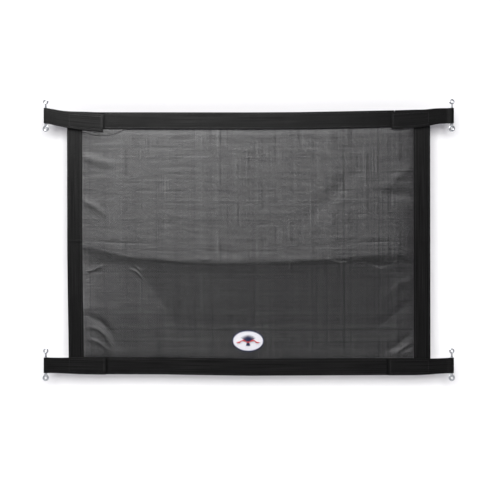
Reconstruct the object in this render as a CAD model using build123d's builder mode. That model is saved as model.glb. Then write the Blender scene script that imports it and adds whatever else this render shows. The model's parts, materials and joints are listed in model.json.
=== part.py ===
from build123d import *
import os

# Hay and stall net: a rectangle of fine woven mesh in a frame of webbing. The top and bottom straps run
# past the panel at both ends, turn round a steel rod and come back on the front, sewn down. Each rod has an
# eye above and below its strap loop. The net hangs upright: +X along the straps, +Z up, front towards -Y.
# Millimetres. The origin is the centre of the whole object's box, on the rods' common plane.

# ---- driving dimensions -------------------------------------------------------------------------------
body_width = 1053.0  # over the outer edges of the two side bindings
body_height = 765.0  # over the outer edges of the top and bottom straps
overall_width = 1190.0  # from loop end to loop end

strap_width = 50.0  # two-inch webbing
strap_thick = 1.8
binding_width = 45.0
binding_thick = 1.6
net_thick = 0.8
net_inset = 4.0  # the net stops this far inside the webbing's outer edges
binding_inset = 6.0  # the bindings stop this far inside the straps' outer edges
return_length = 114.5  # how far each strap end is sewn back over the panel, from the panel's side edge

rod_radius = 3.175  # quarter-inch rod
sleeve_radius = 4.5  # inside of the webbing loop
flare_length = 14.0  # where the two layers of a loop open round the rod
upper_eye_height = 40.5  # eye centres, from the middle of the loop
lower_eye_depth = 37.5
eye_hole_radius = 3.5
upper_eye_ring, upper_eye_wire = 5.5, 2.2  # ring centreline radius and wire radius
lower_eye_ring, lower_eye_wire = 6.3, 2.9
neck_radius = 2.4
shoulder_radius, shoulder_height = 5.2, 5.0
end_play = 0.8  # between a loop's edge and the rod's shoulder or neck

flex_gap = 0.3  # clearance along each flex line, between the panel and a loop
edge_lift = {1: 4.5, -1: 2.0}  # rise of the strap at the panel's side edge: top (1) and bottom (-1)
rod_lift = {1: 13.5, -1: 5.5}  # rise of the loop at its rod, as the straps are drawn up to their fixings

label_half_width, label_half_height = 46.5, 31.5
label_rim = 3.0
label_rim_thick = 1.6
label_thick = 1.2
label_x = -4.0
label_drop = 281.0  # the label's centre below the panel's centre
motif_thick = 0.5
upper_blade, lower_blade, blade_radius = 24.0, 13.0, 1.3
blade_angles = (-40.0, -26.0, -13.0, 0.0, 13.0, 26.0, 40.0)
tie_length, tie_height = 11.0, 3.6

thread_width = 0.9
thread_thick = 0.4
seam_inset = 5.0  # seam rows inside the strap's edges
binding_seam_inset = 8.0
box_seam_inset = 6.0  # end rows inside a sewn-down strap end

# ---- worked out from them ------------------------------------------------------------------------------
half_width = body_width / 2
strap_mid = (body_height - strap_width) / 2
loop_radius = sleeve_radius + strap_thick
rod_x = overall_width / 2 - loop_radius
flex_x = half_width + strap_thick + flex_gap  # the vertical line a loop swings about
rod_top = upper_eye_height + upper_eye_ring + upper_eye_wire
rod_bottom = lower_eye_depth + lower_eye_ring + lower_eye_wire
panel_z = -(rod_lift[1] + rod_lift[-1] + rod_top - rod_bottom) / 2
return_end = half_width - return_length
inner_height = body_height - 2 * strap_width

# Depth of each layer's back face; every layer grows from there towards the front
return_back = 0.0
strap_back = strap_thick
binding_back = strap_back + binding_thick
net_back = binding_back + net_thick
side_hem_back = net_back + net_thick

corners = {
    "top_left": (-1, 1),
    "top_right": (1, 1),
    "bottom_left": (-1, -1),
    "bottom_right": (1, -1),
}


def layer(y, x=0.0, z=0.0):
    """The vertical plane through (x, y, z), facing the front."""
    return Plane(origin=(x, y, z), x_dir=(1, 0, 0), z_dir=(0, -1, 0))


def finish(part, name):
    part.label = name
    export_step(part, f"parts/{name}.step")


def sloped_band(points, height):
    """The outline of a band of this height whose middle line follows the points."""
    top = [(x, z + height / 2) for x, z in points]
    bottom = [(x, z - height / 2) for x, z in reversed(points)]
    return top + bottom


def strap_line(level):
    """The middle line of a strap on the panel, from its left edge to its right edge."""
    z = panel_z + level * strap_mid
    ends = z + edge_lift[level]
    return [(-half_width, ends), (-return_end, z), (return_end, z), (half_width, ends)]


os.makedirs("parts", exist_ok=True)

# ---- net: one sheet, hemmed forward under the straps and backward behind the bindings ------------------
net_width = body_width - 2 * net_inset
net_height = body_height - 2 * net_inset
hem_width = strap_width - net_inset
side_hem_width = binding_width - net_inset
with BuildPart() as net_panel:
    with BuildSketch(layer(net_back, z=panel_z)):
        Rectangle(net_width, net_height)
    extrude(amount=net_thick)
    with BuildSketch(layer(binding_back, z=panel_z)):
        with GridLocations(0, net_height - hem_width, 1, 2):
            Rectangle(body_width - 2 * binding_width, hem_width)
    extrude(amount=binding_thick)
    with BuildSketch(layer(side_hem_back, z=panel_z)):
        with GridLocations(net_width - side_hem_width, 0, 2, 1):
            Rectangle(side_hem_width, net_height)
    extrude(amount=net_thick)
finish(net_panel.part, "net_panel")

# ---- top and bottom straps: one layer across the panel and the ends sewn back over it ------------------
for name, level in {"top_strap": 1, "bottom_strap": -1}.items():
    line = strap_line(level)
    with BuildPart() as strap:
        with BuildSketch(layer(strap_back)):
            with BuildLine():
                Polyline(*sloped_band(line, strap_width), close=True)
            make_face()
        extrude(amount=strap_thick)
        with BuildSketch(layer(return_back)):
            for end in (line[:2], line[2:]):
                with BuildLine():
                    Polyline(*sloped_band(end, strap_width), close=True)
                make_face()
        extrude(amount=strap_thick)
    finish(strap.part, name)

# ---- side bindings, behind the straps and in front of the net ------------------------------------------
binding_x = half_width - binding_width / 2
for name, side in {"left_binding": -1, "right_binding": 1}.items():
    with BuildPart() as binding:
        with BuildSketch(layer(binding_back, side * binding_x, panel_z)):
            Rectangle(binding_width, body_height - 2 * binding_inset)
        extrude(amount=binding_thick)
    finish(binding.part, name)

# ---- strap loops beyond the panel, one at each corner --------------------------------------------------
web_end = rod_x - flare_length
for corner, (side, level) in corners.items():
    edge_z = panel_z + level * strap_mid + edge_lift[level]
    loop_z = panel_z + level * strap_mid + rod_lift[level]
    with BuildPart() as loop:
        with BuildSketch(Plane.XY.offset(edge_z - strap_width / 2)):
            with Locations((side * flex_x, 0)):
                Circle(strap_thick)
        extrude(amount=strap_width)
        with BuildSketch(layer(strap_thick)):
            with BuildLine():
                web = [(side * flex_x, edge_z), (side * web_end, loop_z)]
                Polyline(*sloped_band(web, strap_width), close=True)
            make_face()
        extrude(amount=2 * strap_thick)
        with BuildSketch(Plane.XY.offset(loop_z - strap_width / 2)):
            with BuildLine():
                Polyline(
                    (side * web_end, strap_thick),
                    (side * rod_x, loop_radius),
                    (side * rod_x, -loop_radius),
                    (side * web_end, -strap_thick),
                    close=True,
                )
            make_face()
            with Locations((side * rod_x, 0)):
                Circle(loop_radius)
                Circle(sleeve_radius, mode=Mode.SUBTRACT)
        extrude(amount=strap_width)
    finish(loop.part, f"{corner}_loop")

# ---- rods with an eye at each end, one in each loop ----------------------------------------------------
shank_top = strap_width / 2 + end_play
shank_bottom = -shank_top
for corner, (side, level) in corners.items():
    loop_z = panel_z + level * strap_mid + rod_lift[level]
    with BuildPart(Plane(origin=(side * rod_x, 0, loop_z))) as rod:
        with Locations((0, 0, shank_bottom)):
            Cylinder(rod_radius, shank_top - shank_bottom, align=(Align.CENTER, Align.CENTER, Align.MIN))
        with Locations((0, 0, shank_top)):
            neck = upper_eye_height - upper_eye_ring - shank_top
            Cylinder(neck_radius, neck, align=(Align.CENTER, Align.CENTER, Align.MIN))
        with Locations((0, 0, shank_bottom)):
            Cone(
                rod_radius,
                shoulder_radius,
                shoulder_height,
                align=(Align.CENTER, Align.CENTER, Align.MAX),
            )
        with Locations((0, 0, upper_eye_height)):
            Torus(upper_eye_ring, upper_eye_wire, rotation=(90, 0, 0))
        with Locations((0, 0, -lower_eye_depth)):
            Torus(lower_eye_ring, lower_eye_wire, rotation=(90, 0, 0))
        with Locations((0, 0, upper_eye_height), (0, 0, -lower_eye_depth)):
            Cylinder(eye_hole_radius, 4 * lower_eye_wire, rotation=(90, 0, 0), mode=Mode.SUBTRACT)
    finish(rod.part, f"{corner}_eye_rod")

# ---- sewing threads, as one raised line along each row of stitches -------------------------------------
row_height = strap_width / 2 - seam_inset
for name, level in {"top_strap_stitching": 1, "bottom_strap_stitching": -1}.items():
    z = panel_z + level * strap_mid
    with BuildPart() as seam:
        with BuildSketch(layer(return_back, z=z)):
            with GridLocations(0, 2 * row_height, 1, 2):
                Rectangle(2 * (return_end - box_seam_inset), thread_width)
        extrude(amount=thread_thick)
    finish(seam.part, name)

for name, side in {"left_binding_stitching": -1, "right_binding_stitching": 1}.items():
    with BuildPart() as seam:
        with BuildSketch(layer(strap_back, side * binding_x, panel_z)):
            with GridLocations(binding_width - 2 * binding_seam_inset, 0, 2, 1):
                Rectangle(thread_width, inner_height - 2 * seam_inset)
        extrude(amount=thread_thick)
    finish(seam.part, name)

for corner, (side, level) in corners.items():
    z = panel_z + level * strap_mid
    first = (side * (return_end + box_seam_inset), z)
    last = (side * (half_width - box_seam_inset), z + edge_lift[level])
    with BuildPart() as seam:
        with BuildSketch(layer(-strap_thick)):
            with BuildLine():
                Polyline(*sloped_band([first, last], 2 * row_height), close=True)
            make_face()
            offset(amount=-thread_width, mode=Mode.SUBTRACT)
        extrude(amount=thread_thick)
    finish(seam.part, f"{corner}_box_stitching")

# ---- sewn label: oval patch, wound rim, a sheaf of hay with its tie, and the row of stitches ------------
label_front = binding_back - label_thick
label_z = panel_z - label_drop
patch_half_width = label_half_width - label_rim
patch_half_height = label_half_height - label_rim

with BuildPart() as patch:
    with BuildSketch(layer(binding_back, label_x, label_z)):
        Ellipse(patch_half_width, patch_half_height)
    extrude(amount=label_thick)
finish(patch.part, "label_patch")

with BuildPart() as rim:
    with BuildSketch(layer(binding_back, label_x, label_z)):
        Ellipse(label_half_width, label_half_height)
        Ellipse(patch_half_width, patch_half_height, mode=Mode.SUBTRACT)
    extrude(amount=label_rim_thick)
finish(rim.part, "label_rim")

with BuildPart() as label_seam:
    with BuildSketch(layer(label_front, label_x, label_z)):
        Ellipse(patch_half_width - 2 * thread_width, patch_half_height - 2 * thread_width)
        Ellipse(
            patch_half_width - 3 * thread_width,
            patch_half_height - 3 * thread_width,
            mode=Mode.SUBTRACT,
        )
    extrude(amount=thread_thick)
finish(label_seam.part, "label_stitching")

waist = (lower_blade - upper_blade) / 2  # where the tie holds the blades together
with BuildPart() as sheaf:
    with BuildSketch(layer(label_front, label_x, label_z)):
        for angle in blade_angles:
            with Locations(Location((0, waist), -angle)):
                Ellipse(blade_radius, upper_blade / 2, align=(Align.CENTER, Align.MIN))
                Ellipse(blade_radius, lower_blade / 2, align=(Align.CENTER, Align.MAX))
        with Locations((0, waist)):
            Circle(2 * blade_radius)
    extrude(amount=motif_thick)
finish(sheaf.part, "label_sheaf")

with BuildPart() as tie:
    with BuildSketch(layer(label_front - motif_thick, label_x, label_z)):
        with Locations((0, waist)):
            SlotOverall(tie_length, tie_height)
    extrude(amount=motif_thick)
finish(tie.part, "label_tie")
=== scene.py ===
import json
import math

import bpy
import numpy as np
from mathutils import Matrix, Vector


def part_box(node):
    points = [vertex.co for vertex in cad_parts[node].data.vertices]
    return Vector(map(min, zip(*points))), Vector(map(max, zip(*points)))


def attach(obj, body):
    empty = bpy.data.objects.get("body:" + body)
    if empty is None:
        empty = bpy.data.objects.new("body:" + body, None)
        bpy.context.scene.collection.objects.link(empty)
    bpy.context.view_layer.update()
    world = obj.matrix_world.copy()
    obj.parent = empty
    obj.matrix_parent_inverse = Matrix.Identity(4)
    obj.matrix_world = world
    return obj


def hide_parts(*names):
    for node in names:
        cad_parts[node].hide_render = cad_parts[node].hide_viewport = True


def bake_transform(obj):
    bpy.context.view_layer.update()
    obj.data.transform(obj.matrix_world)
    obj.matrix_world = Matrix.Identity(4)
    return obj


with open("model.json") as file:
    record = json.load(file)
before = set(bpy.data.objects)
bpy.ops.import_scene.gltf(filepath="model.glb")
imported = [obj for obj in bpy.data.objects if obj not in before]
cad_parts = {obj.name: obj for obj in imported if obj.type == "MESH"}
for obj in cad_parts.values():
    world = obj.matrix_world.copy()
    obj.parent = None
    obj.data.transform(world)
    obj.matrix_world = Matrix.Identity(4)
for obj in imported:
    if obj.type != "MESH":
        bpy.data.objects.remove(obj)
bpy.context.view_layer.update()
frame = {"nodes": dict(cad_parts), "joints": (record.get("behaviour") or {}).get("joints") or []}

# ---- sizes in metres ------------------------------------------------------------------------------------
STRAP_WIDTH, STRAP_THICK = 0.049, 0.0018
TAIL_WIDTH = 0.0445  # the strap draws in where it rounds the rod
BINDING_THICK = 0.0016
BINDING_WIDTHS = {"left": 0.0435, "right": 0.0475}
SLEEVE_RADIUS = 0.0045
RIB_PITCH, RIB_HEIGHT = 0.0021, 0.00016  # warp ribs across the webbing
WEFT_PITCH = 0.0011
SELVEDGE = 0.35  # thickness at the webbing's very edge, as a share of the whole
GROOVE_DEPTH, GROOVE_WIDTH = 0.00025, 0.0012  # where a row of stitches pulls the webbing in
RING_STEP = 0.004  # rings of mesh along the webbing
ROW_INSET, BINDING_ROW_INSET, BOX_INSET = 0.0045, 0.0045, 0.006
STITCH_PITCH, STITCH_LENGTH = 0.0042, 0.0034
STITCH_WIDTH, STITCH_HEIGHT = 0.0010, 0.0007
STITCH_SINK = 0.0002  # how far the front rows' middles lie in the webbing
YARN_PITCH, YARN_WIDTH, YARN_THICK = 0.0025, 0.00172, 0.00058
NET_PATCHES = (4, 3)
SIDE_HEM, END_HEM = 0.041, 0.050  # how wide the net is turned over at its edges
LABEL_RADII, RIM_WIDTH, ROW_INSIDE_RIM = (0.0465, 0.0315), 0.003, 0.001

net_lo, net_hi = (np.array(v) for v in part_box("net_panel"))
HALF_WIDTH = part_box("right_binding")[1][0]
BINDING_Z = (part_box("left_binding")[0][2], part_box("left_binding")[1][2])
STRAP_Z = {
    level: (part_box(f"{name}_strap_stitching")[0][2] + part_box(f"{name}_strap_stitching")[1][2]) / 2
    for name, level in (("top", 1), ("bottom", -1))
}
STRAP_Y = STRAP_THICK / 2  # middle of the main layer; the sewn-back layer is in front of it
RETURN_Y = -STRAP_THICK / 2
BINDING_Y = STRAP_THICK + BINDING_THICK / 2
NET_Y = STRAP_THICK + BINDING_THICK + YARN_THICK / 2
HEM_Y = NET_Y + 1.6 * YARN_THICK  # the side hems lie behind the net
END_HEM_Y = STRAP_THICK + YARN_THICK  # the top and bottom hems lie between net and strap
CORNERS = {
    "top_left": (-1, 1),
    "top_right": (1, 1),
    "bottom_left": (-1, -1),
    "bottom_right": (1, -1),
}
# how far in from the panel's side edge each strap end is sewn back, and how far its cut end sits low
RETURN_LENGTH = {"top_left": 0.105, "top_right": 0.114, "bottom_left": 0.112, "bottom_right": 0.122}
RETURN_DROP = {"top_left": 0.0075, "top_right": 0.0065, "bottom_left": 0.0010, "bottom_right": 0.0005}
JOINTS = {j["name"]: j for j in frame["joints"]}

random = np.random.default_rng(7)


# ---- how the webbing and net hang -----------------------------------------------------------------------
def soft_line(x, points, reach=0.012):
    """A smooth line through given points: straight runs, averaged over a short reach."""
    xs, ys = zip(*points)
    return np.mean([np.interp(x + d, xs, ys) for d in np.linspace(-reach, reach, 9)], axis=0)


TOP_LIFT = [
    (-0.60, 0.0140), (-0.575, 0.0118), (-0.55, 0.0066), (-0.52, 0.0028), (-0.49, 0.0011), (-0.44, -0.0008),
    (0.0, -0.0012), (0.15, -0.0004), (0.30, 0.0024), (0.44, 0.0052), (0.51, 0.0076), (0.545, 0.0130), (0.60, 0.0134),
]
BOTTOM_LIFT = [
    (-0.60, 0.0050), (-0.53, 0.0040), (-0.43, 0.0032), (-0.26, 0.0028), (-0.14, 0.0006), (0.0, -0.0012),
    (0.15, -0.0006), (0.41, 0.0006), (0.52, 0.0010), (0.56, 0.0030), (0.60, 0.0048),
]
LEFT_SHIFT = [(-0.40, 0.0042), (-0.29, 0.0034), (-0.18, 0.0014), (-0.03, -0.0004), (0.29, -0.0010), (0.40, -0.0010)]
RIGHT_SHIFT = [(-0.40, 0.0006), (0.40, -0.0003)]


def lift(x, level):
    return soft_line(x, TOP_LIFT if level > 0 else BOTTOM_LIFT)


def placed(x, z):
    """Where a point of the flat panel lies once it hangs: x and z moved in the panel's own plane."""
    s = np.clip((x + HALF_WIDTH) / (2 * HALF_WIDTH), 0, 1)
    t = np.clip((z - STRAP_Z[-1]) / (STRAP_Z[1] - STRAP_Z[-1]), 0, 1)
    across = (1 - s) * soft_line(z, LEFT_SHIFT) + s * soft_line(z, RIGHT_SHIFT)
    up = (1 - t) * lift(x, -1) + t * lift(x, 1)
    return x + across, z + up


def smooth(t):
    t = np.clip(t, 0, 1)
    return t * t * (3 - 2 * t)


# ---- meshes ---------------------------------------------------------------------------------------------
def make_mesh(name, verts, faces, material, uvs=None, sharp=40.0):
    """A smooth-shaded object. faces is a list of arrays, each with one face a row; uvs is one pair a vertex."""
    verts = np.ascontiguousarray(verts, dtype=np.float32)
    mesh = bpy.data.meshes.new(name)
    corners = np.concatenate([f.reshape(-1) for f in faces]).astype(np.int32)
    sizes = np.concatenate([np.full(len(f), f.shape[1]) for f in faces]).astype(np.int32)
    mesh.vertices.add(len(verts))
    mesh.vertices.foreach_set("co", verts.ravel())
    mesh.loops.add(len(corners))
    mesh.loops.foreach_set("vertex_index", corners)
    mesh.polygons.add(len(sizes))
    mesh.polygons.foreach_set("loop_start", np.concatenate([[0], np.cumsum(sizes)[:-1]]).astype(np.int32))
    mesh.polygons.foreach_set("use_smooth", np.ones(len(sizes), dtype=bool))
    mesh.update(calc_edges=True)
    if uvs is not None:
        layer = mesh.uv_layers.new(name="cloth")
        layer.data.foreach_set("uv", np.asarray(uvs, dtype=np.float32)[corners].ravel())
    mesh.materials.append(material)
    if sharp:
        mesh.set_sharp_from_angle(angle=math.radians(sharp))
    obj = bpy.data.objects.new(name, mesh)
    bpy.context.scene.collection.objects.link(obj)
    return obj


def unit(v):
    return v / np.linalg.norm(v, axis=-1, keepdims=True)


def strip_profile(width, thick, grooves=()):
    """Across positions and half thicknesses of a webbing's section: ribs, rounded selvedges, seam grooves."""
    ribs = round(width / RIB_PITCH)
    across = np.linspace(-width / 2, width / 2, 3 * ribs + 1)
    ribbing = RIB_HEIGHT * (np.cos(2 * np.pi * ribs * (across / width + 0.5)) - 1) / 2
    edge = np.clip((width / 2 - abs(across)) / (0.7 * thick), 0, 1)
    half = (thick / 2) * (SELVEDGE + (1 - SELVEDGE) * np.sqrt(1 - (1 - edge) ** 2)) + ribbing
    for a in grooves:
        half -= GROOVE_DEPTH * np.exp(-(((across - a) / GROOVE_WIDTH) ** 2))
    return across, half


def webbing(name, centre, across, width, thick, material, grooves=(), widths=None, webbing_painted_tone=None):
    """A closed strip of webbing along a centre line, with across the unit vector over its width at each point.

    The last argument gives how pale its surface is at each point, as a share of the usual; it carries painted light and
    shade."""
    centre, across = np.asarray(centre), unit(np.asarray(across))
    along = unit(np.gradient(centre, axis=0))
    normal = unit(np.cross(across, along))
    across = unit(np.cross(along, normal))
    a, half = strip_profile(width, thick, grooves)
    n, k = len(centre), len(a)
    scale = np.ones(n) if widths is None else np.asarray(widths) / width
    length = np.concatenate([[0], np.cumsum(np.linalg.norm(np.diff(centre, axis=0), axis=1))])
    over = across[:, None] * (scale[:, None] * a)[..., None]
    front = centre[:, None] + over + normal[:, None] * half[:, None]
    back = centre[:, None] + over - normal[:, None] * half[:, None]
    verts = np.concatenate([front, back[:, ::-1]], axis=1)
    ring = 2 * k
    base = (np.arange(n - 1) * ring)[:, None] + np.arange(ring)
    step = (np.arange(n - 1) * ring)[:, None] + (np.arange(ring) + 1) % ring
    sides = np.stack([base, base + ring, step + ring, step], axis=-1).reshape(-1, 4)
    i = np.arange(k - 1)
    start = np.stack([i, i + 1, ring - 2 - i, ring - 1 - i], axis=-1)
    end = start[:, ::-1] + (n - 1) * ring
    u = np.repeat(length[:, None], ring, axis=1)
    v = np.concatenate([a, a[::-1]])[None].repeat(n, axis=0)
    uvs = np.stack([u, v], axis=-1).reshape(-1, 2)
    obj = make_mesh(name, verts.reshape(-1, 3), [sides, start, end], material, uvs)
    # painted light and shade, one value a ring
    webbing_painted_tone = np.repeat(np.ones(n) if webbing_painted_tone is None else webbing_painted_tone, ring).astype(np.float32)
    obj.data.attributes.new("webbing_painted_tone", "FLOAT", "POINT").data.foreach_set("value", webbing_painted_tone)
    return obj


# ---- materials ------------------------------------------------------------------------------------------
class Nodes:
    """A short way to build a material's nodes."""

    def __init__(self, name, color, roughness, metallic=0.0, specular=0.5):
        self.material = bpy.data.materials.new(name)
        self.material.use_nodes = True
        self.tree = self.material.node_tree
        self.shader = self.tree.nodes["Principled BSDF"]
        self.set("Base Color", (*color, 1))
        self.set("Roughness", roughness)
        self.set("Metallic", metallic)
        self.set("Specular IOR Level", specular)

    def set(self, socket, value):
        self.shader.inputs[socket].default_value = value

    def node(self, kind, **inputs):
        node = self.tree.nodes.new(f"ShaderNode{kind}")
        for name, value in inputs.items():
            if hasattr(node, name):
                setattr(node, name, value)
            else:
                socket = node.inputs[name.replace("_", " ")]
                if isinstance(value, bpy.types.NodeSocket):
                    self.tree.links.new(value, socket)
                else:
                    socket.default_value = value
        return node

    def link(self, out, socket):
        self.tree.links.new(out, self.shader.inputs[socket])

    def coords(self, uv=False):
        if uv:
            return self.node("UVMap", uv_map="cloth").outputs["UV"]
        return self.node("TexCoord").outputs["Object"]

    def scaled(self, vector, scale):
        return self.node("Mapping", Vector=vector, Scale=scale).outputs[0]

    def noise(self, vector, scale, detail=4.0, roughness=0.55):
        return self.node("TexNoise", Vector=vector, Scale=scale, Detail=detail, Roughness=roughness).outputs["Fac"]

    def ramp(self, factor, *stops):
        ramp = self.node("ValToRGB", Fac=factor)
        bands = ramp.color_ramp.elements
        while len(bands) < len(stops):
            bands.new(0.5)
        for band, (at, color) in zip(bands, stops):
            band.position, band.color = at, (*color, 1)
        return ramp.outputs["Color"]

    def bump(self, height, strength, distance):
        out = self.node("Bump", Height=height, Strength=strength, Distance=distance).outputs["Normal"]
        self.link(out, "Normal")

    def maths(self, operation, a, b=0.5):
        node = self.tree.nodes.new("ShaderNodeMath")
        node.operation = operation
        for socket, value in zip(node.inputs, (a, b)):
            if isinstance(value, bpy.types.NodeSocket):
                self.tree.links.new(value, socket)
            else:
                socket.default_value = value
        return node.outputs[0]


def webbing_material():
    """Black polypropylene webbing: fine weft over the warp ribs, a few paler worn threads."""
    m = Nodes("black_webbing", (0.004, 0.004, 0.004), 0.7, specular=0.13)
    uv = m.coords(uv=True)
    parts = m.node("SeparateXYZ", Vector=uv)
    weft = m.maths("SINE", m.maths("MULTIPLY", parts.outputs["X"], 2 * math.pi / WEFT_PITCH))
    rib = m.maths("SINE", m.maths("MULTIPLY", parts.outputs["Y"], 2 * math.pi / RIB_PITCH))
    fuzz = m.noise(m.coords(), 900.0, detail=2.0)
    height = m.maths("ADD", m.maths("MULTIPLY", weft, rib), m.maths("MULTIPLY", fuzz, 1.2))
    m.bump(height, 0.45, 0.0002)
    lengthwise = m.noise(m.scaled(uv, (5.0, 420.0, 1.0)), 1.0, detail=3.0)
    # the base colour is scaled by the painted light and shade that each strip carries as an attribute
    shade = m.node("VectorMath", operation="SCALE", Scale=m.node("Attribute", attribute_name="webbing_painted_tone").outputs["Fac"])
    m.tree.links.new(m.ramp(lengthwise, (0.37, (0.0003,) * 3), (0.64, (0.0092, 0.0092, 0.0089))), shade.inputs[0])
    m.link(shade.outputs[0], "Base Color")
    patches = m.noise(m.coords(), 14.0)
    m.link(m.ramp(patches, (0.3, (0.62,) * 3), (0.7, (0.80,) * 3)), "Roughness")
    return m.material


def yarn_material():
    """Black coated yarn: duller and glossier patches, a little lint, and the painted light and shade that each yarn
    carries.
    """
    m = Nodes("net_yarn", (0.040, 0.040, 0.040), 0.5, specular=0.22)
    place = m.coords()
    lint = m.ramp(m.noise(place, 240.0, detail=5.0), (0.35, (0.029, 0.029, 0.030)), (0.72, (0.053, 0.053, 0.051)))
    # the base colour is scaled by the painted light and shade that the yarns carry as an attribute
    yarn_painted_tone = m.node("Attribute", attribute_name="yarn_painted_tone").outputs["Fac"]
    shade = m.node("VectorMath", operation="SCALE", Scale=yarn_painted_tone)
    m.tree.links.new(lint, shade.inputs[0])
    m.link(shade.outputs[0], "Base Color")
    m.link(m.ramp(m.noise(m.scaled(place, (1.0, 1.0, 5.0)), 9.0), (0.3, (0.42,) * 3), (0.7, (0.58,) * 3)), "Roughness")
    return m.material


def thread_material(name, dark, pale, roughness=0.45):
    """Sewing thread with a twist."""
    m = Nodes(name, dark, roughness, specular=0.35)
    place = m.coords()
    wave = m.node("TexWave", Vector=place, Scale=420.0, Distortion=1.2, Detail=1.0, bands_direction="DIAGONAL")
    m.link(m.ramp(wave.outputs["Fac"], (0.25, dark), (0.8, pale)), "Base Color")
    m.bump(wave.outputs["Fac"], 0.35, 0.0001)
    return m.material


def steel_material():
    """Bright zinc plating over a cast eye: faint grain, duller patches."""
    m = Nodes("steel", (0.44, 0.46, 0.47), 0.38, metallic=1.0)
    place = m.coords()
    cloud = m.noise(place, 160.0, detail=5.0)
    m.link(m.ramp(cloud, (0.3, (0.32, 0.34, 0.36)), (0.72, (0.60, 0.62, 0.63))), "Base Color")
    m.link(m.ramp(m.noise(place, 420.0), (0.3, (0.30,) * 3), (0.75, (0.48,) * 3)), "Roughness")
    m.bump(m.noise(place, 1400.0), 0.12, 0.0001)
    return m.material


def twill_material():
    """The label's white ground: a diagonal twill."""
    m = Nodes("label_white", (0.82, 0.82, 0.84), 0.75, specular=0.25)
    place = m.coords()
    wave = m.node("TexWave", Vector=place, Scale=260.0, Distortion=0.4, bands_direction="DIAGONAL")
    m.link(m.ramp(wave.outputs["Fac"], (0.1, (0.74, 0.74, 0.78)), (0.5, (0.93, 0.93, 0.95))), "Base Color")
    m.bump(wave.outputs["Fac"], 0.5, 0.00012)
    return m.material


black = webbing_material()
yarn = yarn_material()
thread = thread_material("thread", (0.006, 0.006, 0.006), (0.020, 0.020, 0.020))
steel = steel_material()
white = twill_material()
navy = thread_material("label_navy", (0.006, 0.010, 0.045), (0.022, 0.032, 0.11))
red = thread_material("label_red", (0.42, 0.035, 0.045), (0.72, 0.11, 0.12))
label_thread = thread_material("label_thread", (0.004, 0.005, 0.014), (0.010, 0.013, 0.035))

for node, obj in frame["nodes"].items():
    if node.endswith("eye_rod"):
        obj.data.materials.clear()
        obj.data.materials.append(steel)


# ---- straps ---------------------------------------------------------------------------------------------
CREASE_DEPTH, CREASE_WIDTH = 0.0006, 0.0035


def crease(distance, width=CREASE_WIDTH):
    """A shallow fold mark left by packing, by distance from its line."""
    return CREASE_DEPTH * np.exp(-((distance / width) ** 2))


PACK_FOLDS = (-0.368, -0.136, 0.105, 0.337)  # where the folded net was creased, along x
PACK_FOLD_Z = -0.003  # and across it
STRAP_ROWS = (ROW_INSET - STRAP_WIDTH / 2, STRAP_WIDTH / 2 - ROW_INSET)  # the two rows of stitches on a strap
LAP = 0.012  # how far outside the cut end a strap's middle piece meets its end piece
CUT_SHADOW_HALF = 0.005  # a painted shadow on the main layer beside the sewn-back layer's end
CUT_PAINTED_SHADOW, CUT_BAND, CUT_TONE = 0.002, 0.009, 1.7  # the cut end: a painted shadow along its edge, then a paler band
TURN_IN = 0.016  # how far short of the rod a strap begins to swing round it


def strap_centre(x, level):
    """The main layer's centre line at x: its lift, and the fold marks."""
    y = STRAP_Y + sum(0.5 * crease(x - f) for f in PACK_FOLDS)
    return np.stack([x, y, STRAP_Z[level] + lift(x, level)], axis=-1)


def strap_painted_light(x, level):
    """Painted light along a strap: its colour is paler to the left and darker to the right, above all on the top one,
    as the light falls off; the bottom one is painted paler overall.
    """
    return np.interp(x, [-0.45, 0.1, 0.45], [0.9, 0.85, 0.45] if level > 0 else [1.3, 1.3, 1.0])


def strap_middle(level):
    """The single layer of a strap between its two sewn-back ends."""
    name = "top" if level > 0 else "bottom"
    words = ((-1, "left"), (1, "right"))
    ends = [side * (HALF_WIDTH - RETURN_LENGTH[f"{name}_{word}"] + LAP) for side, word in words]
    x = np.arange(ends[0], ends[1] + RING_STEP / 2, RING_STEP)
    up = np.tile([0.0, 0.0, 1.0], (len(x), 1))
    from_cut = np.min([abs(x - ends[0] - LAP), abs(x - ends[1] + LAP)], axis=0)
    # a painted shadow beside the sewn-back layer's end, and painted light along the strap
    webbing_painted_tone = np.where(from_cut < CUT_SHADOW_HALF, 0.0, strap_painted_light(x, level))
    centre = strap_centre(x, level)
    obj = webbing(f"{name}_strap_middle", centre, up, STRAP_WIDTH, STRAP_THICK, black, STRAP_ROWS, webbing_painted_tone=webbing_painted_tone)
    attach(obj, "panel")
    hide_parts(f"{name}_strap")


def return_shift(corner, x):
    """How much lower the sewn-back layer lies than the main layer, at x from the middle outward."""
    inner = HALF_WIDTH - RETURN_LENGTH[corner]
    rod_x = abs(JOINTS[f"{corner}_rod_turn"]["pos_m"][0])
    return RETURN_DROP[corner] * np.clip((rod_x - np.asarray(x)) / (rod_x - inner), 0, 1) ** 1.2


def tail_width(corner, x):
    """The strap's width at x from the middle outward: it draws in towards the rod."""
    rod_x = abs(JOINTS[f"{corner}_rod_turn"]["pos_m"][0])
    drawn_in = smooth((np.asarray(x) - HALF_WIDTH + 0.05) / (rod_x - HALF_WIDTH + 0.02))
    return STRAP_WIDTH - (STRAP_WIDTH - TAIL_WIDTH) * drawn_in


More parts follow.
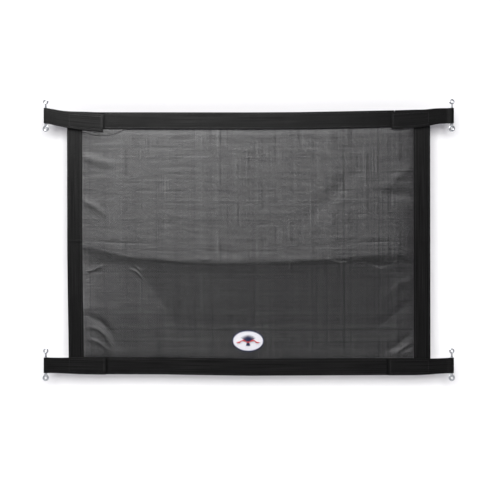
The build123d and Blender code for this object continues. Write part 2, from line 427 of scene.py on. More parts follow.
def strap_end(corner):
    """A strap's end: out on the main layer, round the rod, and back on the front to its cut end."""
    side, level = CORNERS[corner]
    rod = Vector(JOINTS[f"{corner}_rod_turn"]["pos_m"])
    turn = SLEEVE_RADIUS + STRAP_THICK / 2
    inner = HALF_WIDTH - RETURN_LENGTH[corner]
    rod_x = abs(rod.x)
    out_x = np.arange(inner + LAP, rod_x - TURN_IN, RING_STEP)
    angles = np.linspace(np.pi / 2, -np.pi / 2, 13)
    round_x, round_y = rod_x + turn * np.cos(angles), turn * np.sin(angles)
    flare = np.linspace(0, 1, 6)[1:-1]
    flare_x = out_x[-1] + (rod_x - out_x[-1]) * flare
    back_x = np.append(np.arange(rod_x - TURN_IN, inner, -RING_STEP), inner)
    xs = np.concatenate([out_x, flare_x, round_x, flare_x[::-1], back_x])
    ys = np.concatenate([
        np.full_like(out_x, STRAP_Y), STRAP_Y + (turn - STRAP_Y) * smooth(flare), round_y,
        (RETURN_Y - (turn + RETURN_Y) * smooth(flare))[::-1], np.full_like(back_x, RETURN_Y),
    ])
    on_return = np.arange(len(xs)) >= len(xs) - len(back_x) - len(flare)
    zs = STRAP_Z[level] + lift(side * xs, level) - np.where(on_return, return_shift(corner, xs), 0)
    centre = np.stack([side * xs, ys, zs], axis=1)
    up = np.tile([0.0, 0.0, float(side)], (len(xs), 1))
    from_end = xs - inner
    # a painted shadow along the cut end's edge, then a paler band; painted light along the whole strap
    cut_tone = np.where(from_end < CUT_PAINTED_SHADOW, 0.0, CUT_TONE)
    webbing_painted_tone = np.where(on_return & (from_end < CUT_BAND), cut_tone, 1.0) * strap_painted_light(centre[:, 0], level)
    obj = webbing(
        f"{corner}_strap_end", centre, up, STRAP_WIDTH, STRAP_THICK, black, STRAP_ROWS,
        widths=tail_width(corner, xs), webbing_painted_tone=webbing_painted_tone,
    )
    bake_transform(obj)
    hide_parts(f"{corner}_loop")


def binding_centre(z, side, word):
    width = BINDING_WIDTHS[word]
    x, z = placed(np.full_like(z, side * (HALF_WIDTH - width / 2)), z)
    return np.stack([x, BINDING_Y - crease(z - PACK_FOLD_Z), z], axis=-1)


def side_binding(word, side):
    width = BINDING_WIDTHS[word]
    z = np.arange(BINDING_Z[0], BINDING_Z[1], RING_STEP / 2)
    over = np.tile([-1.0, 0.0, 0.0], (len(z), 1))
    row = width / 2 - BINDING_ROW_INSET
    centre = binding_centre(z, side, word)
    obj = webbing(f"{word}_binding_web", centre, over, width, BINDING_THICK, black, (-row, row))
    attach(obj, "panel")
    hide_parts(f"{word}_binding")


for level in (1, -1):
    strap_middle(level)
for corner in CORNERS:
    strap_end(corner)
side_binding("left", -1)
side_binding("right", 1)

# ---- net ------------------------------------------------------------------------------------------------
EDGE_X = (-HALF_WIDTH + BINDING_WIDTHS["left"], HALF_WIDTH - BINDING_WIDTHS["right"])
EDGE_Z = (STRAP_Z[-1] + STRAP_WIDTH / 2, STRAP_Z[1] - STRAP_WIDTH / 2)
RIDGE = [(-0.478, -0.018), (-0.353, -0.050), (-0.223, -0.060), (-0.112, -0.066), (0.105, -0.062), (0.479, -0.040)]
BULGE = 0.0165  # how far the ridge stands out of the panel
RIDGE_REACH = 0.02  # how far its line is averaged
RIDGE_ROUND = 0.0005  # how sharply the two slopes meet
STEP, STEP_REACH = 0.0024, 0.016  # the short steep fall just under it
LEFT_REACH, RIGHT_REACH = 0.05, 0.06  # how soon the net rises from its side edges
PUFF, PUFF_REACH = 0.0022, 0.006  # how far and how soon the net comes forward from behind its frame
RIPPLE = 0.00046
EDGE_CALM = 0.012  # ripples and folds die away this near the edge
PACK_SHARE, PACK_WIDTH = 0.22, 0.004  # the net's fold marks are fainter than the webbing's
SLOPE_LIGHT, SIDE_SLOPE_SHARE = 9.5, 0.12  # how strongly painted light and shade follow the net's slope, and the sideways slope's share
SLACK_PAINTED_SHADE = -0.27  # the slack under the ridge is painted darker by this much, a painted shade
PACK_TONE, PACK_TONE_WIDTH = 0.16, 0.0035  # paler along the fold marks
TONE_LIMITS = (-1.4, 0.7)
# painted light on the wavy hem where it shows under the strap, painted shade along its edge and on the hidden hems
HEM_PAINTED_LIGHT, HEM_PAINTED_SHADE = 1.9, 0.6
HEM_FORWARD, HEM_FORWARD_REACH = 0.0021, 0.004  # where the wavy hem shows, it lies in front of the net
HEM_DROP = [
    (-0.53, 0.008), (-0.483, 0.010), (-0.440, 0.022), (-0.405, 0.020), (-0.383, 0.015), (-0.364, 0.003), (-0.34, 0.0),
]
# where the slack under the ridge ends at the left, as (z, x); and how much paler painted light makes the net beyond it,
# as (z, tone)
SLACK = [
    (-0.33, -0.12), (-0.25, -0.215), (-0.183, -0.250), (-0.113, -0.303),
    (-0.09, -0.325), (-0.07, -0.350), (-0.05, -0.375),
]
BESIDE_SLACK_LIGHT = [(-0.34, 0.15), (-0.26, 0.36), (-0.19, 0.80), (-0.075, 0.80), (-0.060, 0.0)]
# short folds: how far each stands out of the net, how wide it is, and its line
FOLDS = [
    (-0.0006, 0.0028, [(-0.476, -0.004), (-0.360, -0.010), (-0.26, -0.011)]),
    (-0.0004, 0.0028, [(0.27, -0.010), (0.479, -0.006)]),
    (0.0011, 0.012, [(-0.520, 0.250), (-0.450, 0.232), (-0.375, 0.214)]),
    (0.0012, 0.010, [(-0.520, 0.128), (-0.450, 0.098), (-0.400, 0.060)]),
    (0.0009, 0.004, [(-0.478, -0.104), (-0.443, -0.084), (-0.408, -0.072)]),
    (0.0007, 0.003, [(-0.476, -0.091), (-0.449, -0.092)]),
    (0.0017, 0.0035, [(-0.355, -0.082), (-0.326, -0.092), (-0.302, -0.120)]),
    (0.0014, 0.003, [(-0.332, -0.074), (-0.306, -0.096)]),
    (0.0013, 0.003, [(0.117, -0.046), (0.122, -0.066), (0.121, -0.092)]),
    (0.0010, 0.004, [(-0.160, -0.046), (-0.130, -0.058), (-0.100, -0.052)]),
    (0.0012, 0.004, [(0.215, -0.052), (0.260, -0.068), (0.310, -0.062)]),
    (-0.0012, 0.005, [(0.330, -0.060), (0.380, -0.078), (0.430, -0.068)]),
    (-0.0018, 0.009, [(-0.520, -0.210), (-0.470, -0.222), (-0.430, -0.240), (-0.404, -0.268), (-0.372, -0.345)]),
    (0.0013, 0.006, [(-0.490, -0.252), (-0.446, -0.258), (-0.418, -0.280), (-0.396, -0.330)]),
    (0.0013, 0.006, [(-0.490, -0.280), (-0.440, -0.300), (-0.390, -0.335)]),
    (-0.0019, 0.011, [(0.342, -0.354), (0.424, -0.308), (0.510, -0.240)]),
    (0.0011, 0.005, [(0.400, -0.346), (0.448, -0.314), (0.500, -0.284)]),
    (0.0009, 0.005, [(0.425, -0.346), (0.495, -0.308)]),
    (-0.0009, 0.022, [(0.385, 0.232), (0.270, 0.162), (0.215, 0.095), (0.100, 0.020)]),
    (-0.0010, 0.014, [(0.520, 0.090), (0.450, 0.130), (0.365, 0.128)]),
    (0.0008, 0.013, [(0.520, 0.230), (0.450, 0.192), (0.365, 0.130)]),
    (0.0013, 0.013, [(0.520, -0.100), (0.440, -0.130), (0.370, -0.185)]),
    (-0.0013, 0.013, [(0.520, -0.150), (0.440, -0.200), (0.350, -0.270)]),
]


def soft_min(values, reach):
    """The least of several heights, rounded off where they cross."""
    low = np.min(values, axis=0)
    return low - reach * np.log(np.sum([np.exp(-(v - low) / reach) for v in values], axis=0))


def waves(x, z):
    """Short flat ripples across the net, coming and going."""
    rng = np.random.default_rng(11)
    total = 0
    for _ in range(26):
        length, lean, phase = rng.uniform(0.011, 0.060), rng.normal(0, 0.12), rng.uniform(0, 2 * np.pi, 4)
        along = 2 * np.pi * (z + lean * x) / length + phase[0] + 1.2 * np.sin(2 * np.pi * x / 0.26 + phase[1])
        reach = rng.uniform(0.10, 0.30)
        shows = np.sin(2 * np.pi * x / reach + phase[2]) * np.sin(2 * np.pi * z / (0.8 * reach) + phase[3])
        total = total + (length / 0.05) ** 0.8 * np.sin(along) * np.clip(0.5 + shows, 0, 1.5)
    return total / 17


def fold_height(x, z, out, width, line):
    """A fold along a line of points, dying away at its two ends."""
    runs = [math.dist(a, b) for a, b in zip(line, line[1:])]
    nearest, place, start = np.full_like(x, 1.0), np.zeros_like(x), 0.0
    for (x1, z1), (x2, z2), run in zip(line, line[1:], runs):
        t = np.clip(((x - x1) * (x2 - x1) + (z - z1) * (z2 - z1)) / run**2, 0, 1)
        away = np.hypot(x - x1 - t * (x2 - x1), z - z1 - t * (z2 - z1))
        place = np.where(away < nearest, (start + t * run) / sum(runs), place)
        nearest = np.minimum(nearest, away)
        start += run
    return out * np.exp(-((nearest / width) ** 2)) * np.sin(np.pi * place) ** 2


def relief(x, z):
    """How far the net stands back from its flat plane; negative is towards the viewer."""
    ridge = soft_line(x, RIDGE, RIDGE_REACH)
    left, right = np.clip(x - EDGE_X[0], 0, 1), np.clip(EDGE_X[1] - x, 0, 1)
    above = BULGE * (EDGE_Z[1] - z) / (EDGE_Z[1] - ridge)
    below = BULGE * (z - EDGE_Z[0]) / (ridge - EDGE_Z[0])
    fall = STEP * np.clip((z - EDGE_Z[0]) / (ridge - EDGE_Z[0]), 0, 1)
    below = below - fall * (1 - np.exp(-np.clip(ridge - z, 0, 1) / STEP_REACH))
    height = np.maximum(soft_min([above, below], RIDGE_ROUND), 0)
    height = height * (1 - np.exp(-(left + 0.004) / LEFT_REACH)) * (1 - np.exp(-(right + 0.004) / RIGHT_REACH))
    edge = np.clip(np.min([left, right, z - EDGE_Z[0], EDGE_Z[1] - z], axis=0), 0, 1)
    inside = np.clip(edge / EDGE_CALM, 0, 1)
    height = height + PUFF * (1 - np.exp(-edge / PUFF_REACH)) + RIPPLE * inside * waves(x, z)
    for out, width, line in FOLDS:
        height = height + inside * fold_height(x, z, out, width, line)
    for f in PACK_FOLDS:
        height = height + PACK_SHARE * inside * crease(x - f, PACK_WIDTH)
    return -height


def net_painted_light(x, z):
    """Painted light and shade on the yarn: paler where the net leans back from the viewer towards the light above, and
    a little where it faces left; darker in the slack under the ridge; paler beside the slack and along the fold marks.
    """
    step = 0.002
    up = (relief(x, z + step) - relief(x, z - step)) / (2 * step)
    left = (relief(x - step, z) - relief(x + step, z)) / (2 * step)
    # painted light on the net beside the slack
    beside = smooth((np.interp(z, *zip(*SLACK)) - x) / 0.018 + 0.5) * np.interp(z, *zip(*BESIDE_SLACK_LIGHT))
    # painted shade over the slack under the ridge
    slack = SLACK_PAINTED_SHADE * smooth((soft_line(x, RIDGE, RIDGE_REACH) - z) / 0.01)
    folds = sum(PACK_TONE * np.exp(-(((x - f) / PACK_TONE_WIDTH) ** 2)) for f in PACK_FOLDS)
    # painted light and shade from the slopes, the slack and the fold marks, as a factor on the yarn's colour
    return np.exp(np.clip(SLOPE_LIGHT * (0.9 * up + SIDE_SLOPE_SHARE * left) + beside + slack + folds, *TONE_LIMITS))


def hem_painted_shading(x, z):
    """Painted light and shade on the hems: the wavy hem is painted pale where it shows under the strap, and painted
    dark along its very edge and everywhere else.
    """
    edge = np.clip((EDGE_Z[1] + STRAP_WIDTH - z) / END_HEM, 0, 1)
    return np.where((z > 0) & (edge < 0.95), HEM_PAINTED_LIGHT, HEM_PAINTED_SHADE)


def streaks(x, z, seed):
    """How much single yarns stand out from their neighbours: it comes and goes, and grows to the right and down."""
    rng = np.random.default_rng(seed)
    total = 0
    for _ in range(9):
        a, b = rng.normal(0, 2 * np.pi / 0.07, 2)
        total = total + np.sin(a * x + b * z + rng.uniform(0, 2 * np.pi))
    return np.clip(0.75 + 0.3 * x / HALF_WIDTH - 3.5 * np.minimum(z, 0) + total / 3.0, 0, 2.6)


def yarn_tubes(points, wide, thick):
    """Closed flat-diamond tubes along many yarns at once. points is (yarns, stations, 3)."""
    along = unit(np.gradient(points, axis=1))
    face = np.array([0.0, -1.0, 0.0])
    over = unit(np.cross(along, face))
    face = unit(np.cross(over, along))
    wide, thick = wide[:, None, None] / 2, thick[:, None, None] / 2
    rings = np.stack([points + over * wide, points + face * thick, points - over * wide, points - face * thick], axis=2)
    yarns, stations = points.shape[:2]
    index = np.arange(yarns * stations * 4).reshape(yarns, stations, 4)
    a, b = index[:, :-1], index[:, 1:]
    nxt = [1, 2, 3, 0]
    sides = np.stack([a, a[..., nxt], b[..., nxt], b], axis=-1).reshape(-1, 4)
    caps = np.concatenate([index[:, 0, ::-1], index[:, -1]])
    return rings.reshape(-1, 3), sides, caps


def drift(count, amount, run):
    """A slowly wandering offset, one a yarn."""
    steps = random.normal(0, 1, count + 2 * run)
    slow = np.convolve(steps, np.ones(run) / run, "same")[run:-run]
    return amount * (0.7 * slow * math.sqrt(run) + 0.5 * random.normal(0, 1, count))


class Weave:
    """A plain weave of yarns over a rectangle, laid on a surface; pieces of it can be built one at a time."""

    def __init__(self, x1, x2, z1, z2):
        self.nx, self.nz = round((x2 - x1) / YARN_PITCH), round((z2 - z1) / YARN_PITCH)
        self.x = x1 + (x2 - x1) * (np.arange(self.nx) + 0.5) / self.nx + drift(self.nx, 0.00008, 5)
        self.z = z1 + (z2 - z1) * (np.arange(self.nz) + 0.5) / self.nz + drift(self.nz, 0.00009, 4)
        self.wide_x = YARN_WIDTH * (1 + drift(self.nx, 0.05, 3))
        self.wide_z = YARN_WIDTH * (1 + drift(self.nz, 0.06, 3))
        self.tone_x, self.tone_z = random.normal(0, 0.32, self.nx), random.normal(0, 0.21, self.nz)

    def piece(self, name, surface, painted_light_of, i1=0, i2=None, j1=0, j2=None):
        xs, zs = self.x[i1:i2], self.z[j1:j2]
        half = YARN_PITCH / 2
        gx = np.concatenate([[xs[0] - half], xs, [xs[-1] + half]])
        gz = np.concatenate([[zs[0] - half], zs, [zs[-1] + half]])
        i, j = np.meshgrid(np.arange(len(xs)) + i1, np.arange(len(zs)) + j1, indexing="ij")
        over = np.where((i + j) % 2 == 0, 1.0, -1.0) * YARN_THICK * 0.45
        x, z = np.meshgrid(xs, gz, indexing="ij")
        warp = surface(x, z, np.pad(over, ((0, 0), (1, 1))))
        # each yarn carries painted light and shade, times its own random tone
        warp_painted_light = painted_light_of(x, z) * (1 + self.tone_x[i1:i2, None] * streaks(x, z, 3))
        z, x = np.meshgrid(zs, gx, indexing="ij")
        weft = surface(x, z, np.pad(-over.T, ((0, 0), (1, 1))))
        weft_painted_light = painted_light_of(x, z) * (1 + self.tone_z[j1:j2, None] * streaks(x, z, 5))
        v1, s1, c1 = yarn_tubes(warp, self.wide_x[i1:i2], self.wide_x[i1:i2] * YARN_THICK / YARN_WIDTH)
        v2, s2, c2 = yarn_tubes(weft, self.wide_z[j1:j2], self.wide_z[j1:j2] * YARN_THICK / YARN_WIDTH)
        verts, faces = np.concatenate([v1, v2]), [s1, s2 + len(v1), c1, c2 + len(v1)]
        obj = make_mesh(name, verts, faces, yarn, sharp=None)
        # the painted light and shade goes on the mesh as an attribute, one value a vertex
        yarn_painted_tone = np.repeat(np.concatenate([warp_painted_light.ravel(), weft_painted_light.ravel()]), 4).astype(np.float32)
        obj.data.attributes.new("yarn_painted_tone", "FLOAT", "POINT").data.foreach_set("value", yarn_painted_tone)
        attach(obj, "panel")
        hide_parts("net_panel")


def net_surface(x, z, out):
    px, pz = placed(x, z)
    return np.stack([px, NET_Y + relief(x, z) + out, pz], axis=-1)


def side_hem_surface(x, z, out):
    px, pz = placed(x, z)
    return np.stack([px, HEM_Y + relief(x, z) + out, pz], axis=-1)


def hem_drop(x):
    """How far the top hem's wavy edge shows under the strap; it is hidden except at the left."""
    return soft_line(x, HEM_DROP, 0.008)


def end_hem_surface(level):
    def surface(x, z, out):
        px, pz = placed(x, z)
        edge = np.clip((STRAP_Z[level] + STRAP_WIDTH / 2 - z) / END_HEM, 0, 1) if level > 0 else 0
        down = pz - edge * hem_drop(x)
        bare = np.clip((EDGE_Z[1] + lift(x, 1) - down) / HEM_FORWARD_REACH, 0, 1) if level > 0 else 0
        return np.stack([px, END_HEM_Y + out - HEM_FORWARD * bare, down], axis=-1)

    return surface


def net():
    weave = Weave(net_lo[0], net_hi[0], net_lo[2], net_hi[2])
    cut_x = np.linspace(0, weave.nx, NET_PATCHES[0] + 1).astype(int)
    cut_z = np.linspace(0, weave.nz, NET_PATCHES[1] + 1).astype(int)
    for a in range(NET_PATCHES[0]):
        for b in range(NET_PATCHES[1]):
            weave.piece(f"net_{a + 1}_{b + 1}", net_surface, net_painted_light, cut_x[a], cut_x[a + 1], cut_z[b], cut_z[b + 1])
    for word, x1, x2 in (("left", net_lo[0], net_lo[0] + SIDE_HEM), ("right", net_hi[0] - SIDE_HEM, net_hi[0])):
        Weave(x1, x2, net_lo[2], net_hi[2]).piece(f"net_{word}_hem", side_hem_surface, hem_painted_shading)
    for word, level in (("top", 1), ("bottom", -1)):
        inner = STRAP_Z[level] - level * (STRAP_WIDTH / 2 - 0.001)
        outer = inner + level * (END_HEM - 0.004)
        hem = Weave(EDGE_X[0] + 0.001, EDGE_X[1] - 0.001, min(inner, outer), max(inner, outer))
        hem.piece(f"net_{word}_hem", end_hem_surface(level), hem_painted_shading)


net()


# ---- stitching ------------------------------------------------------------------------------------------
def lozenges(places, alongs, outs, length=STITCH_LENGTH, width=STITCH_WIDTH, height=STITCH_HEIGHT):
    """Short closed stitches, each a spindle on the surface: its middle, its direction and the way it stands out."""
    places, alongs, outs = (np.asarray(v, dtype=float) for v in (places, alongs, outs))
    alongs = unit(alongs)
    overs = unit(np.cross(outs, alongs))
    spans, swells = np.array([-0.38, 0.0, 0.38]), np.array([0.78, 1.0, 0.78])
    turns = np.linspace(0, 2 * np.pi, 7)[:-1]
    ring = [
        places + alongs * (s * length) + overs * (w * width / 2 * math.cos(t)) + outs * (w * height / 2 * math.sin(t))
        for s, w in zip(spans, swells)
        for t in turns
    ]
    dip = outs * (-0.3 * height)
    tips = [places - alongs * length / 2 + dip, places + alongs * length / 2 + dip]
    verts = np.stack(ring + tips, axis=1)
    quads = [
        [6 * r + k, 6 * r + (k + 1) % 6, 6 * r + 6 + (k + 1) % 6, 6 * r + 6 + k] for r in range(2) for k in range(6)
    ]
    tris = [[18, (k + 1) % 6, k] for k in range(6)] + [[19, 12 + k, 12 + (k + 1) % 6] for k in range(6)]
    base = (np.arange(len(places)) * 20)[:, None, None]
    return verts.reshape(-1, 3), (np.array(quads) + base).reshape(-1, 4), (np.array(tris) + base).reshape(-1, 3)


def along_path(path, pitch=STITCH_PITCH):
    """Even places along a polyline, each with its direction."""
    path = np.asarray(path, dtype=float)
    steps = np.linalg.norm(np.diff(path, axis=0), axis=1)
    length = np.concatenate([[0], np.cumsum(steps)])
    count = max(2, int(length[-1] / pitch))
    at = (np.arange(count) + 0.5) * length[-1] / count
    places = np.stack([np.interp(at, length, path[:, k]) for k in range(3)], axis=1)
    ahead = np.stack([np.interp(at + pitch / 4, length, path[:, k]) for k in range(3)], axis=1)
    behind = np.stack([np.interp(at - pitch / 4, length, path[:, k]) for k in range(3)], axis=1)
    return places, ahead - behind


def sew(name, paths, node, slot="thread", material=thread, **sizes):
    """A piece of stitches along paths, each (path, the way it faces)."""
    places, alongs, outs = [], [], []
    for path, out in paths:
        p, a = along_path(path)
        a = unit(a) + random.normal(0, 0.035, a.shape)
        places.append(p)
        alongs.append(a)
        outs.append(np.tile(out, (len(p), 1)))
    verts, quads, tris = lozenges(np.concatenate(places), np.concatenate(alongs), np.concatenate(outs), **sizes)
    obj = make_mesh(name, verts, [quads, tris], material, sharp=None)
    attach(obj, "panel")
    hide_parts(node)


FRONT, BACK = (0.0, -1.0, 0.0), (0.0, 1.0, 0.0)


def all_stitching():
    for name, level in (("top", 1), ("bottom", -1)):
        words = ((-1, "left"), (1, "right"))
        ends = [side * (HALF_WIDTH - RETURN_LENGTH[f"{name}_{word}"] - 0.003) for side, word in words]
        paths = []
        for row in STRAP_ROWS:
            x = np.arange(ends[0], ends[1], 0.01)
            path = strap_centre(x, level) + [0, -STRAP_THICK / 2 + STITCH_SINK, row]
            paths.append((path, FRONT))
            x = np.arange(-HALF_WIDTH + 0.006, HALF_WIDTH - 0.006, 0.01)
            path = strap_centre(x, level) + [0, 0, row]
            path[:, 1] = NET_Y + YARN_THICK * 0.9
            paths.append((path, BACK))
        sew(f"{name}_strap_stitches", paths, f"{name}_strap_stitching")
    for word, side in (("left", -1), ("right", 1)):
        paths = []
        row = BINDING_WIDTHS[word] / 2 - BINDING_ROW_INSET
        for across in (-row, row):
            z = np.arange(EDGE_Z[0] + 0.002, EDGE_Z[1] - 0.002, 0.008)
            path = binding_centre(z, side, word) + [across, -BINDING_THICK / 2 + STITCH_SINK, 0]
            paths.append((path, FRONT))
            path = path.copy()
            path[:, 1] = HEM_Y + YARN_THICK * 0.9
            paths.append((path, BACK))
        sew(f"{word}_binding_stitches", paths, f"{word}_binding_stitching")
    for corner, (side, level) in CORNERS.items():
        inner = HALF_WIDTH - RETURN_LENGTH[corner]
        x1, x2, h = inner + BOX_INSET, HALF_WIDTH - BOX_INSET, STRAP_WIDTH / 2 - 0.0065
        corners = [(x1, -h), (x2, -h), (x2, h), (x1, h), (x1, -h)]
        flat = np.array([
            np.array(a) + (np.array(b) - np.array(a)) * t
            for a, b in zip(corners, corners[1:])
            for t in np.linspace(0, 1, 12)
        ])
        x, across = side * flat[:, 0], flat[:, 1]
        middle = STRAP_Z[level] + lift(x, level) - return_shift(corner, flat[:, 0])
        z = middle + across * tail_width(corner, flat[:, 0]) / STRAP_WIDTH
        front = np.stack([x, np.full_like(x, RETURN_Y - STRAP_THICK / 2 + STITCH_SINK), z], axis=1)
        back = np.stack([x, np.full_like(x, HEM_Y + YARN_THICK * 0.9), z], axis=1)
        sew(f"{corner}_box_stitches", [(front, FRONT), (back, BACK)], f"{corner}_box_stitching")


all_stitching()

# ---- label ----------------------------------------------------------------------------------------------
label_lo, label_hi = (np.array(v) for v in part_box("label_rim"))
LABEL_X, LABEL_Z = (label_lo[0] + label_hi[0]) / 2, (label_lo[2] + label_hi[2]) / 2


def label_plane(u, v, out):
    """A point of the label: u and v from its middle, out towards the viewer from the net's front."""
    x, z = placed(LABEL_X + u, LABEL_Z + v)
    middle = relief(np.asarray(LABEL_X), np.asarray(LABEL_Z))
    y = NET_Y - YARN_THICK + 0.1 * middle + 0.9 * relief(LABEL_X + u, LABEL_Z + v)
    return np.stack([x, y - out, z], axis=-1)


def label_patch():
    """A slightly domed oval of twill with a closed back."""
    rings, spokes = 14, 72
    angle = np.linspace(0, 2 * np.pi, spokes + 1)[:-1]
    verts = []
    for out, dome in ((0.0009, 0.0005), (0.0, 0.0)):
        for r in np.linspace(0, 1, rings + 1)[1:]:
            u, v = r * (LABEL_RADII[0] - 0.001) * np.cos(angle), r * (LABEL_RADII[1] - 0.001) * np.sin(angle)
            verts.append(label_plane(u, v, out + dome * (1 - r**2)))
        verts.append(label_plane(np.zeros(1), np.zeros(1), out + dome))
    verts = np.concatenate(verts)
    side = rings * spokes + 1
    quads, tris = [], []
    for k, flip in ((0, 1), (1, -1)):
        for r in range(rings - 1):
            a = k * side + r * spokes + np.arange(spokes)
            b = k * side + r * spokes + (np.arange(spokes) + 1) % spokes
            quads.append(np.stack([a, a + spokes, b + spokes, b], axis=1)[:, ::flip])
        a, b = k * side + np.arange(spokes), k * side + (np.arange(spokes) + 1) % spokes
        tris.append(np.stack([np.full(spokes, k * side + side - 1), a, b], axis=1)[:, ::flip])
    a = (rings - 1) * spokes + np.arange(spokes)
    b = (rings - 1) * spokes + (np.arange(spokes) + 1) % spokes
    quads.append(np.stack([a, a + side, b + side, b], axis=1))
    obj = make_mesh("label_twill", verts, [np.concatenate(quads), np.concatenate(tris)], white)
    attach(obj, "panel")
    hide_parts("label_patch")


def satin(name, strokes, node, material, out):
    """Satin stitching: close parallel threads across each stroke, given as their two ends."""
    a, b = (np.array(v) for v in zip(*strokes))
    middle = (a + b) / 2
    places = label_plane(middle[:, 0], middle[:, 1], out)
    flat = b - a
    alongs = np.stack([flat[:, 0], np.zeros(len(flat)), flat[:, 1]], axis=1)
    lengths = np.linalg.norm(alongs, axis=1)
    verts, quads, tris = [], [], []
    for p, d, l in zip(places, alongs, lengths):
        v, q, t = lozenges([p], [d], [FRONT], length=l, width=0.00075, height=0.0008)
        quads.append(q + 20 * len(verts))
        tris.append(t + 20 * len(verts))
        verts.append(v)
    obj = make_mesh(name, np.concatenate(verts), [np.concatenate(quads), np.concatenate(tris)], material, sharp=None)
    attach(obj, "panel")
    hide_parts(node)


def leaf(start, end, width, pitch=0.0006, lean=0.35, curve=0.0):
    """Threads across a leaf from start to end, widest in its middle."""
    start, end = np.array(start), np.array(end)
    length = np.linalg.norm(end - start)
    ahead = (end - start) / length
    across = np.array([-ahead[1], ahead[0]])
    strokes = []
    for t in np.arange(pitch, length - pitch / 2, pitch) / length:
        half = width / 2 * math.sin(math.pi * t) ** 0.7 + 0.0003
        middle = start + ahead * t * length + across * curve * math.sin(math.pi * t)
        strokes.append((middle - (across + lean * ahead) * half, middle + (across + lean * ahead) * half))
    return strokes


def label_art():
    """A sheaf of hay tied with a ribbon."""
    waist = (0.0, -0.0035)
    blades = []
    for degrees in (-52, -36, -20, -6, 8, 22, 38, 54):
        a = math.radians(degrees)
        tip = (waist[0] + 0.0225 * math.sin(a) * 1.15, waist[1] + 0.0225 * math.cos(a))
        blades += leaf(waist, tip, 0.0034, curve=0.0012 * np.sign(degrees))
    for degrees in (-30, -15, 0, 15, 30):
        a = math.radians(degrees)
        blades += leaf(waist, (waist[0] + 0.0125 * math.sin(a), waist[1] - 0.0125 * math.cos(a)), 0.0028)
    satin("label_sheaf_satin", blades, "label_sheaf", navy, 0.0016)
    ribbon = leaf((-0.0055, waist[1]), (0.0055, waist[1]), 0.0036)
    for side in (-1, 1):
        ribbon += leaf((side * 0.004, waist[1]), (side * 0.021, waist[1] + 0.0035), 0.0042, curve=side * 0.003)
        bend, tip = (side * 0.019, waist[1] + 0.0035), (side * 0.034, waist[1] - 0.001)
        ribbon += leaf(bend, tip, 0.0036, curve=-side * 0.0022)
    satin("label_ribbon_satin", ribbon, "label_tie", red, 0.0021)


def label_rim():
    """The oversewn rim: thread wound close about the edge, each turn a little out of line."""
    turns, ring = 330, 8
    steps = turns * 4
    at = np.arange(steps) * 2 * np.pi / steps
    u_mid, v_mid = LABEL_RADII[0] - RIM_WIDTH / 2, LABEL_RADII[1] - RIM_WIDTH / 2
    out_u, out_v = np.cos(at) / u_mid, np.sin(at) / v_mid
    norm = np.hypot(out_u, out_v)
    swell = 1 + 0.10 * np.cos(at * turns) + 0.03 * np.sin(at * 37)
    verts = []
    for k in range(ring):
        a = 2 * np.pi * k / ring
        r_in, r_out = RIM_WIDTH / 2 * swell * math.cos(a), 0.0010 * swell * math.sin(a)
        u, v = u_mid * np.cos(at) + r_in * out_u / norm, v_mid * np.sin(at) + r_in * out_v / norm
        verts.append(label_plane(u, v, 0.0007 + r_out))
    verts = np.stack(verts, axis=1).reshape(-1, 3)
    i, k = np.meshgrid(np.arange(steps), np.arange(ring), indexing="ij")
    n, m = (i + 1) % steps, (k + 1) % ring
    quads = np.stack([i * ring + k, i * ring + m, n * ring + m, n * ring + k], axis=-1).reshape(-1, 4)
    obj = make_mesh("label_rim_thread", verts, [quads], navy, sharp=None)
    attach(obj, "panel")
    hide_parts("label_rim")
    at = np.linspace(0, 2 * np.pi, 120)
    u_row, v_row = (radius - RIM_WIDTH - ROW_INSIDE_RIM for radius in LABEL_RADII)
    path = label_plane(u_row * np.cos(at), v_row * np.sin(at), 0.0012)
    sew(
        "label_stitches", [(path, FRONT)], "label_stitching", slot="label_thread", material=label_thread,
        length=0.0026, width=0.0006, height=0.0006,
    )


label_patch()
label_art()
label_rim()

# ---- camera, light and stage -----------------------------------------------------------------------------
VIEW_CENTRE = (0.0035, -0.0288)
LENS, FRAME_WIDTH = 85.0, 1.45
camera = bpy.data.objects.new("camera", bpy.data.cameras.new("camera"))
camera.data.lens = LENS
camera_distance = FRAME_WIDTH / 2 / (camera.data.sensor_width / 2 / LENS)
camera.location = (VIEW_CENTRE[0], -camera_distance, VIEW_CENTRE[1])
camera.rotation_euler = (math.pi / 2, 0, 0)
bpy.context.scene.collection.objects.link(camera)
bpy.context.scene.camera = camera


def area_light(name, place, target, size, power):
    data = bpy.data.lights.new(name, "AREA")
    data.shape, data.size, data.size_y = "RECTANGLE", size[0], size[1]
    data.energy = power
    obj = bpy.data.objects.new(name, data)
    obj.location = place
    obj.rotation_euler = (Vector(target) - Vector(place)).to_track_quat("-Z", "Y").to_euler()
    obj.visible_camera = False
    bpy.context.scene.collection.objects.link(obj)
    return obj


key = area_light("key", (-0.20, -4.2, 1.16), (0, 0, 0), (3.0, 1.8), 206)
key.visible_glossy = False
top_light = area_light("top_light", (-0.47, -0.31, 1.12), (-0.08, 0, 0.0), (1.2, 0.26), 72)
area_light("back_fill", (0.8, 3.2, 1.2), (0, 0, 0), (2.5, 2.5), 120)

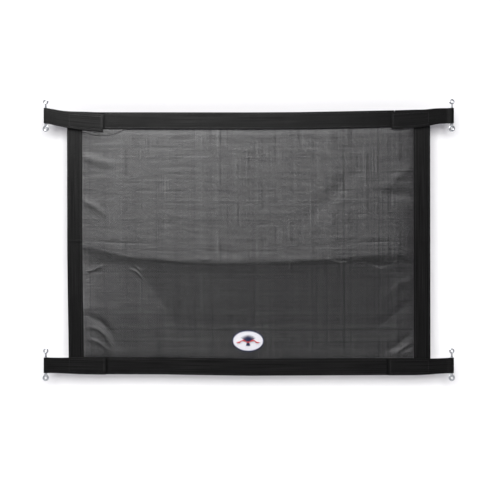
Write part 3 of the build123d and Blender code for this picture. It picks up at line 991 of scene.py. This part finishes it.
world = bpy.data.worlds.new("studio")
world.use_nodes = True
tree = world.node_tree
fill = tree.nodes["Background"]
fill.inputs["Color"].default_value = (0.84, 0.75, 1.0, 1)
fill.inputs["Strength"].default_value = 0.14
seen = tree.nodes.new("ShaderNodeBackground")
seen.inputs["Color"].default_value = (0.97, 0.97, 0.98, 1)
seen.inputs["Strength"].default_value = 1.0
path = tree.nodes.new("ShaderNodeLightPath")
which = tree.nodes.new("ShaderNodeMixShader")
tree.links.new(path.outputs["Is Camera Ray"], which.inputs[0])
tree.links.new(fill.outputs[0], which.inputs[1])
tree.links.new(seen.outputs[0], which.inputs[2])
tree.links.new(which.outputs[0], tree.nodes["World Output"].inputs["Surface"])
bpy.context.scene.world = world
bpy.context.scene.view_settings.view_transform = "Standard"

WALL_GAP, FLOOR_Z = 0.086, -0.80


def stage_plane(name, corners, one_sided):
    mesh = bpy.data.meshes.new(name)
    mesh.from_pydata(corners, [], [(0, 1, 2, 3)])
    m = Nodes(name, (0.88, 0.88, 0.88), 0.9, specular=0.1)
    if one_sided:
        mix, clear = m.tree.nodes.new("ShaderNodeMixShader"), m.tree.nodes.new("ShaderNodeBsdfTransparent")
        geometry = m.tree.nodes.new("ShaderNodeNewGeometry")
        m.tree.links.new(geometry.outputs["Backfacing"], mix.inputs[0])
        m.tree.links.new(m.shader.outputs[0], mix.inputs[1])
        m.tree.links.new(clear.outputs[0], mix.inputs[2])
        m.tree.links.new(mix.outputs[0], m.tree.nodes["Material Output"].inputs["Surface"])
    mesh.materials.append(m.material)
    obj = bpy.data.objects.new(name, mesh)
    bpy.context.scene.collection.objects.link(obj)
    obj.visible_shadow = not one_sided
    return obj


wall = [(-6, WALL_GAP, FLOOR_Z), (6, WALL_GAP, FLOOR_Z), (6, WALL_GAP, 5), (-6, WALL_GAP, 5)]
floor = [(-3, -3.7, FLOOR_Z), (3, -3.7, FLOOR_Z), (3, 2.6, FLOOR_Z), (-3, 2.6, FLOOR_Z)]
stage = [stage_plane("wall", wall, True), stage_plane("floor", floor, False)]

# the key lights the stage, with the net's soft shadow on it, and the top light rakes the net itself
for light, state in ((key, "INCLUDE"), (top_light, "EXCLUDE")):
    linked = bpy.data.collections.new(f"{light.name}_receivers")
    for obj in stage:
        linked.objects.link(obj)
    for item in linked.collection_objects:
        item.light_linking.link_state = state
    light.light_linking.receiver_collection = linked
